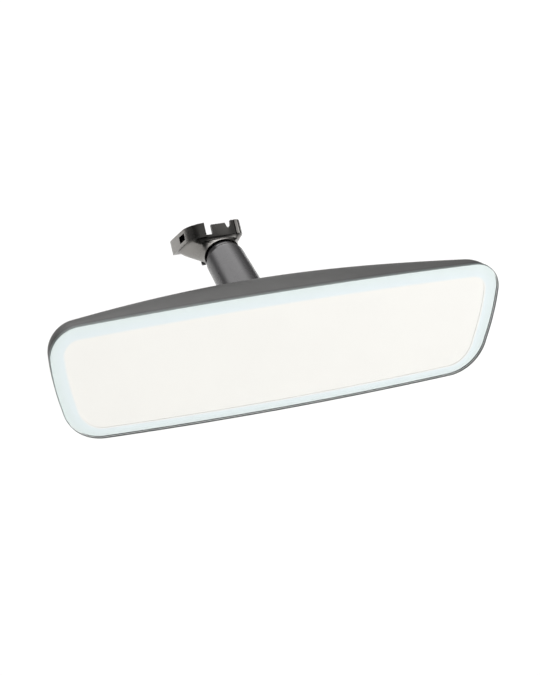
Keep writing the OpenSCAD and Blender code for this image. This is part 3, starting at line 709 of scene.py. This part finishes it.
def build_border_and_mirror():
    """The border with its tint across, and the flat layers of the cell behind it."""
    low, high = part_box("border_ring")
    y0, y1 = low.y - GLASS.y, high.y - GLASS.y
    steps = 12

    def border_at(t, front):
        """One loop, t of the way across; the back thins out at the inner edge."""
        y = y0 if front else y0 + (y1 - y0) * min(1, 0.05 + 6 * (1 - t))
        loop = []
        for x, z, nx, nz in RIM:
            inset = RING_INSET + (ring_width(nz) - RING_INSET) * t
            loop.append(GLASS + Vector((x - inset * nx, y, z - inset * nz)))
        return loop

    stations = [k / steps for k in range(steps + 1)]
    stations += stations[::-1]
    rings = [border_at(t, k <= steps) for k, t in enumerate(stations)]
    border = loft("border", rings, MATERIALS["border_ring"], cyclic=True)
    across = border.data.attributes.new("across", "FLOAT", "POINT")
    count = len(RIM)
    points = range(len(border.data.vertices))
    across.data.foreach_set("value", [stations[v // count] for v in points])
    stand_for(border, "border_ring", "head")

    for node in ("mirror_coating", "rear_glass"):
        low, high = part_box(node)
        # the coating starts in front of the gel, so that no dark line shows along the border
        front = y1 + COATING_GAP if node == "mirror_coating" else low.y - GLASS.y
        rings = [rim_ring(CELL_INSET, front), rim_ring(CELL_INSET, high.y - GLASS.y)]
        layer = loft(node + "_layer", rings, MATERIALS[node], caps=True)
        stand_for(layer, node, "head")


# ---- arm ----

def build_arm():
    """The tube between the two domes, with the seats of both balls inside."""
    length = (FOOT_BALL - HEAD_BALL).length
    place = Matrix.Translation(HEAD_BALL) @ TO_AXIS
    top = (0, length)
    base = (0, 0)
    taper = math.asin((ARM_HEAD_R - ARM_SHOULDER_R) / length)
    profile = arc_points(top, ARM_FOOT_R, MOUTH + MOUTH_LIP, FOOT_DOME_END, 24)
    profile += [(ARM_SHOULDER_R - inset, length + height) for inset, height in SHOULDER]
    profile += arc_points(base, ARM_HEAD_R, math.pi / 2 - taper, math.pi - MOUTH - MOUTH_LIP, 24)
    profile += arc_points(base, HEAD_SEAT_R, math.pi - MOUTH, math.pi / 2, 16)
    profile += [(HEAD_SEAT_R, HEAD_SEAT_L), (ARM_BORE_R, HEAD_SEAT_L),
                (ARM_BORE_R, length - FOOT_SEAT_L), (FOOT_SEAT_R, length - FOOT_SEAT_L)]
    profile += arc_points(top, FOOT_SEAT_R, math.pi / 2, MOUTH, 16)
    arm = revolve("arm_shell", profile, place, MATERIALS["arm_tube"], 128, 30)
    stand_for(arm, "arm_tube", "arm")


# ---- foot ----

# The foot's outline and what is cut from it, in mm in the plane of the seat
LEFT_WALL = [(-20.8, 13), (-20.8, 10), (-18, -7.5), (-15.5, -11), (-11.5, -13.4), (-8, -14.2)]
MIDDLE_WALL = [(-7.6, -12.2), (4.6, -12.2)]
RIGHT_POST = [(7.2, -12.2), (8.4, -12.6), (8.8, -12.1), (9.6, -12.1), (10, -12.7),
              (11.6, -12.5), (12, -11.9), (12.6, -11.6), (13.8, -9.8), (14.5, -6), (14.2, 6),
              (13.6, 13)]
CHANNEL_END = -10.2
WIRE_SLOT_X = (-7.6, -3.6)
CUT_FROM_Y = -9
PAST = 20                  # how far the cutters reach past the walls
MIDDLE_WALL_END = 5
MIDDLE_WALL_DROP = 1
V_NOTCH = [(3.8, 1), (7.8, 1), (7.4, -2.4), (5.9, -4.2), (5.2, -3.4)]
WINDOW_Y = (-6.6, 0.4)
WINDOW_Z = (-5.9, -2.1)


def foot_trumpet(sides=96, rows=28):
    """The flare between the foot's walls and its cup, as a closed loft."""
    axis_place = SEAT.inverted() @ Matrix.Translation(FOOT_BALL) @ TO_AXIS
    rings = []
    for k in range(rows + 1):
        t = k / rows
        ring = []
        for i in range(sides):
            a = 2 * math.pi * i / sides
            c, s = math.cos(a), math.sin(a)
            reach = (abs(c) ** 4 + abs(s) ** 4) ** -0.25
            qy = FLARE_HALF[1] * s * reach
            qx = FLARE_HALF[0] * c * reach + FLARE_LEAN * qy
            start = Vector((FLARE_MIDDLE[0] + qx, FLARE_MIDDLE[1] + qy, -FOOT_H + 1 * MM))
            flare = Vector((FLARE_MIDDLE[0] + FLARE_NARROWS * qx,
                            FLARE_MIDDLE[1] + FLARE_NARROWS * qy, -FOOT_H - FLARE_DEPTH))
            neck = axis_place @ Vector((NECK_NARROWS * CUP_EDGE_R * c,
                                        NECK_NARROWS * CUP_EDGE_R * s,
                                        CUP_EDGE_S + NECK_DEPTH))
            end = axis_place @ Vector((CUP_EDGE_R * c, CUP_EDGE_R * s, CUP_EDGE_S - PAST_RIM))
            u = 1 - t
            point = u ** 3 * start + 3 * u * u * t * flare + 3 * u * t * t * neck + t ** 3 * end
            ring.append(SEAT @ point)
        rings.append(ring)
    return loft("trumpet", rings, MATERIALS["foot_casting"], caps=True)


def build_foot():
    """The block, its flare and everything cut out of them, with small rounds on the edges."""
    outline = LEFT_WALL + MIDDLE_WALL + RIGHT_POST
    foot = prism_solid(outline, -FOOT_H / MM, 0, SEAT)
    foot.name = "foot_block"
    combine(foot, foot_trumpet(), "UNION")
    axis_place = Matrix.Translation(FOOT_BALL) @ TO_AXIS
    half = CHANNEL_W / MM / 2
    gap = LIP_GAP / MM / 2
    floor = -CHANNEL_D / MM
    cutters = [
        # the flat of the rim, the cup, the ball stud's hole and the push nut's pocket
        rod_solid(CUP_CUT_R, CUP_EDGE_S - 20 * MM, CUP_EDGE_S, axis_place),
        ball_solid(CUP_R, axis_place),
        rod_solid(STUD_HOLE_R, 0, 30 * MM, axis_place),
        rod_solid(NUT_R, NUT_S, NUT_S + 12 * MM, axis_place),
        # the channel, and the gap between its lips, a hair less deep so that no faces coincide
        box_solid((-half, CHANNEL_END, floor), (half, PAST, -LIP_T / MM), SEAT),
        box_solid((-gap, CHANNEL_END, floor + 0.01), (gap, PAST, 1), SEAT),
        # the wire slot, and the lower top of the middle wall
        box_solid((WIRE_SLOT_X[0], -PAST, floor), (WIRE_SLOT_X[1], CUT_FROM_Y, 1), SEAT),
        box_solid((WIRE_SLOT_X[0], -PAST, -MIDDLE_WALL_DROP),
                  (MIDDLE_WALL_END, CUT_FROM_Y, 1.1), SEAT),
        # the window in the left end, and the set screw's hole
        box_solid((-30, WINDOW_Y[0], WINDOW_Z[0]), (-half + 1, WINDOW_Y[1], WINDOW_Z[1]), SEAT),
        rod_solid(SET_SCREW_R, -19 * MM, 1 * MM,
                  SEAT @ Matrix.Translation((*SET_SCREW_AT, 0)), 24),
    ]
    stand = (SEAT @ Matrix.Translation((0, CUT_FROM_Y * MM, 0))
             @ Matrix.Rotation(math.pi / 2, 4, "X"))
    cutters.append(prism_solid(V_NOTCH, 0, PAST + CUT_FROM_Y, stand))
    for cutter in cutters:
        combine(foot, cutter, "DIFFERENCE")
    bevelled(foot, CAST_ROUND, 2, 32)
    stand_for(foot, "foot_casting", "foot")


# ---- stage ----

LENS = 85.3                # in mm on a sensor 36 mm wide
CAMERA_AT = (-0.27609, -0.67064, 0.35608)   # from the middle of the glass
CAMERA_AZIMUTH = math.radians(-21.76)
CAMERA_ELEVATION = math.radians(25.67)
CAMERA_ROLL = math.radians(0.38)
FLOOR_Z = -0.8
FLOOR_HALF = 12
# painted shade on the floor: its left is darker than its right
FLOOR_SHADED_LEFT = (0.9, 0.897, 0.89)
FLOOR_LIT_RIGHT = (0.965, 0.963, 0.957)
FLOOR_FADE = (0.1, 1.0)    # how far along X the floor's painted shade turns from the darker tone to the lighter one
FLOOR_UNEVEN = 0.1         # how much a slow noise moves that turn
TENT = 3.0                 # brightness of the tent overhead
HORIZON = (0.15, 0.5)      # sine of the elevations between which it brightens
HORIZON_DARK = 0.1
# Dark places of the room seen past the tent: (direction, dark within, bright beyond, level);
# the two limits are cosines of the angle from the direction.
DARK_PLACES = [((-0.2, -0.65, 0.72), 0.8, 0.45, 0.06), ((0.85, 0.4, 0.3), 0.93, 0.68, 0.1),
               ((-0.88, -0.2, 0.43), 0.9, 0.75, 0.05)]


def build_stage():
    """A wide floor of white paper well below the part, with painted shade: darker to the left, lighter to the
    right.
    """
    material, tree, shader, where = new_material("floor_paper")
    parts = tree.nodes.new("ShaderNodeSeparateXYZ")
    tree.links.new(where, parts.inputs["Vector"])
    # painted shade: the floor's colour darkens towards the left along X
    across = tree.nodes.new("ShaderNodeMapRange")
    across.inputs["From Min"].default_value = FLOOR_FADE[0]
    across.inputs["From Max"].default_value = FLOOR_FADE[1]
    tree.links.new(parts.outputs["X"], across.inputs["Value"])
    uneven = tree.nodes.new("ShaderNodeMath")
    uneven.operation = "MULTIPLY_ADD"
    uneven.inputs[1].default_value = FLOOR_UNEVEN
    tree.links.new(noise(tree, where, 3, 2), uneven.inputs[0])
    tree.links.new(across.outputs["Result"], uneven.inputs[2])
    tree.links.new(colour_between(tree, uneven.outputs["Value"], FLOOR_SHADED_LEFT, FLOOR_LIT_RIGHT),
                   shader.inputs["Base Color"])
    shader.inputs["Roughness"].default_value = 0.9
    points = [(x * FLOOR_HALF, y * FLOOR_HALF, FLOOR_Z)
              for x, y in ((-1, -1), (1, -1), (1, 1), (-1, 1))]
    mesh_object("floor", points, [(0, 1, 2, 3)], material)


def build_world():
    """A bright tent that darkens along the horizon and in a few places of the room."""
    world = bpy.data.worlds.new("studio")
    bpy.context.scene.world = world
    world.use_nodes = True
    tree = world.node_tree
    where = tree.nodes.new("ShaderNodeTexCoord").outputs["Generated"]
    parts = tree.nodes.new("ShaderNodeSeparateXYZ")
    tree.links.new(where, parts.inputs["Vector"])
    rise = tree.nodes.new("ShaderNodeMapRange")
    rise.interpolation_type = "SMOOTHSTEP"
    rise.inputs["From Min"].default_value = HORIZON[0]
    rise.inputs["From Max"].default_value = HORIZON[1]
    rise.inputs["To Min"].default_value = HORIZON_DARK
    rise.inputs["To Max"].default_value = 1.0
    tree.links.new(parts.outputs["Z"], rise.inputs["Value"])
    light = rise.outputs["Result"]
    for direction, dark_within, bright_beyond, darkness in DARK_PLACES:
        toward = tree.nodes.new("ShaderNodeVectorMath")
        toward.operation = "DOT_PRODUCT"
        toward.inputs[1].default_value = Vector(direction).normalized()
        tree.links.new(where, toward.inputs[0])
        fade = tree.nodes.new("ShaderNodeMapRange")
        fade.interpolation_type = "SMOOTHSTEP"
        fade.inputs["From Min"].default_value = bright_beyond
        fade.inputs["From Max"].default_value = dark_within
        fade.inputs["To Min"].default_value = 1.0
        fade.inputs["To Max"].default_value = darkness
        tree.links.new(toward.outputs["Value"], fade.inputs["Value"])
        both = tree.nodes.new("ShaderNodeMath")
        both.operation = "MULTIPLY"
        tree.links.new(light, both.inputs[0])
        tree.links.new(fade.outputs["Result"], both.inputs[1])
        light = both.outputs["Value"]
    level = tree.nodes.new("ShaderNodeMath")
    level.operation = "MULTIPLY"
    level.inputs[1].default_value = TENT
    tree.links.new(light, level.inputs[0])
    sky = tree.nodes["Background"]
    sky.inputs["Color"].default_value = (1, 1, 1, 1)
    tree.links.new(level.outputs["Value"], sky.inputs["Strength"])


def build_camera():
    """A long lens to the left of the glass and above it, as the photograph was taken."""
    camera = bpy.data.cameras.new("camera")
    camera.sensor_width = 36
    camera.lens = LENS
    obj = bpy.data.objects.new("camera", camera)
    bpy.context.scene.collection.objects.link(obj)
    obj.location = GLASS + Vector(CAMERA_AT)
    turn = (Matrix.Rotation(CAMERA_AZIMUTH, 4, "Z")
            @ Matrix.Rotation(math.pi / 2 - CAMERA_ELEVATION, 4, "X")
            @ Matrix.Rotation(CAMERA_ROLL, 4, "Z"))
    obj.rotation_euler = turn.to_euler()
    bpy.context.scene.camera = obj


build_camera()
build_stage()
build_world()
paint_cad_nodes()
build_shell()
build_lens()
build_pane()
build_border_and_mirror()
build_arm()
build_foot()
bpy.context.scene.view_settings.view_transform = "Standard"
